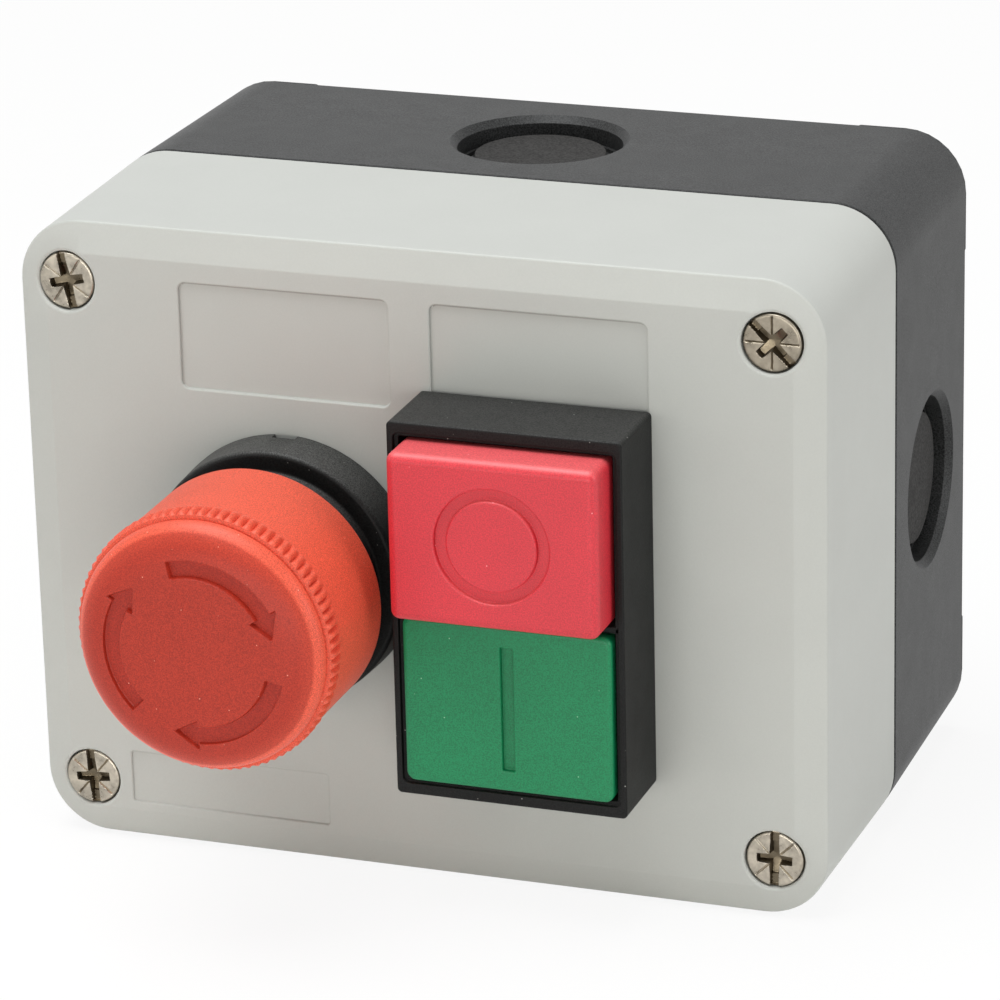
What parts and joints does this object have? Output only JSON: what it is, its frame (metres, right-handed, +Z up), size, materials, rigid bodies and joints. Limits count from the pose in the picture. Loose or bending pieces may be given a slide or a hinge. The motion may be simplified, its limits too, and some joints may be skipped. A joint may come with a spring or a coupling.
{
  "type": "emergency stop box",
  "caption": "Wall box with a twist-to-release emergency stop head and a twin stop and start push-button, with contact blocks inside.",
  "frame": {"origin": "centre of the four wall-fixing holes, in the plane of the feet", "axes": "+Z up, +X to the right seen from the front, +Y into the wall; the front faces -Y"},
  "size_m": [0.105, 0.0988, 0.0834],
  "materials": {
    "cover_grey": "fine satin moulded plastic",
    "base_grey": "matte moulded plastic",
    "black_plastic": "matte moulded plastic",
    "signal_red": "matte moulded plastic",
    "button_red": "satin moulded plastic",
    "button_green": "satin moulded plastic",
    "nickel": "nickel-plated steel",
    "steel": "zinc-plated steel",
    "contact_metal": "copper alloy",
    "seal_rubber": "soft rubber",
    "natural_plastic": "unpainted plastic"
  },
  "bodies": {
    "box": {"base": "base_grey", "cover": "cover_grey", "cover_gasket": "seal_rubber", "cover_screws": "nickel", "cover_screw_seals": "seal_rubber", "estop_collar": "black_plastic", "estop_panel_gasket": "seal_rubber", "estop_ring_nut": "black_plastic", "estop_block_holder": "black_plastic", "estop_stem_seal": "seal_rubber", "estop_return_spring": "steel", "duo_frame": "black_plastic", "duo_panel_gasket": "seal_rubber", "duo_ring_nut": "black_plastic", "duo_block_holder": "black_plastic", "stop_return_spring": "steel", "start_return_spring": "steel", "estop_block_housing": "natural_plastic", "estop_block_plate": "natural_plastic", "estop_block_spring": "steel", "estop_block_contacts": "contact_metal", "stop_block_housing": "natural_plastic", "stop_block_plate": "natural_plastic", "stop_block_spring": "steel", "stop_block_contacts": "contact_metal", "start_block_housing": "natural_plastic", "start_block_plate": "natural_plastic", "start_block_spring": "steel", "start_block_contacts": "contact_metal", "terminal_screws": "steel", "terminal_clamps": "steel"},
    "estop_plunger": {"estop_stem": "natural_plastic"},
    "estop_head": {"estop_mushroom": "signal_red", "estop_twist_sleeve": "natural_plastic"},
    "stop_key": {"stop_button": "button_red"},
    "start_key": {"start_button": "button_green"},
    "estop_carrier": {"estop_block_plunger": "natural_plastic", "estop_block_bridge": "contact_metal"},
    "stop_carrier": {"stop_block_plunger": "natural_plastic", "stop_block_bridge": "contact_metal"},
    "start_carrier": {"start_block_plunger": "natural_plastic", "start_block_bridge": "contact_metal"}
  },
  "joints": [
    {"name": "estop_push", "type": "slide", "parent": "box", "child": "estop_plunger", "axis": [0, 1, 0], "range_m": [0, 0.0045], "deforming": ["estop_return_spring"]},
    {"name": "estop_twist", "type": "hinge", "parent": "estop_plunger", "child": "estop_head", "pos_m": [-0.0168, 0, -0.0007], "axis": [0, 1, 0], "range_deg": [0, 45], "stiffness_Nm_per_rad": 0.02, "springref_deg": -5.73},
    {"name": "stop_push", "type": "slide", "parent": "box", "child": "stop_key", "axis": [0, 1, 0], "range_m": [0, 0.0035], "stiffness_N_per_m": 300, "springref_m": -0.003, "deforming": ["stop_return_spring"]},
    {"name": "start_push", "type": "slide", "parent": "box", "child": "start_key", "axis": [0, 1, 0], "range_m": [0, 0.0035], "stiffness_N_per_m": 300, "springref_m": -0.003, "deforming": ["start_return_spring"]},
    {"name": "estop_contact", "type": "slide", "parent": "box", "child": "estop_carrier", "axis": [0, 1, 0], "range_m": [0, 0.0045], "deforming": ["estop_block_spring"]},
    {"name": "stop_contact", "type": "slide", "parent": "box", "child": "stop_carrier", "axis": [0, 1, 0], "range_m": [0, 0.0035], "deforming": ["stop_block_spring"]},
    {"name": "start_contact", "type": "slide", "parent": "box", "child": "start_carrier", "axis": [0, 1, 0], "range_m": [0, 0.0035], "deforming": ["start_block_spring"]}
  ],
  "couplings": [
    {"joint": "estop_contact", "follows": "estop_push", "ratio": 1},
    {"joint": "stop_contact", "follows": "stop_push", "ratio": 1},
    {"joint": "start_contact", "follows": "start_push", "ratio": 1}
  ]
}
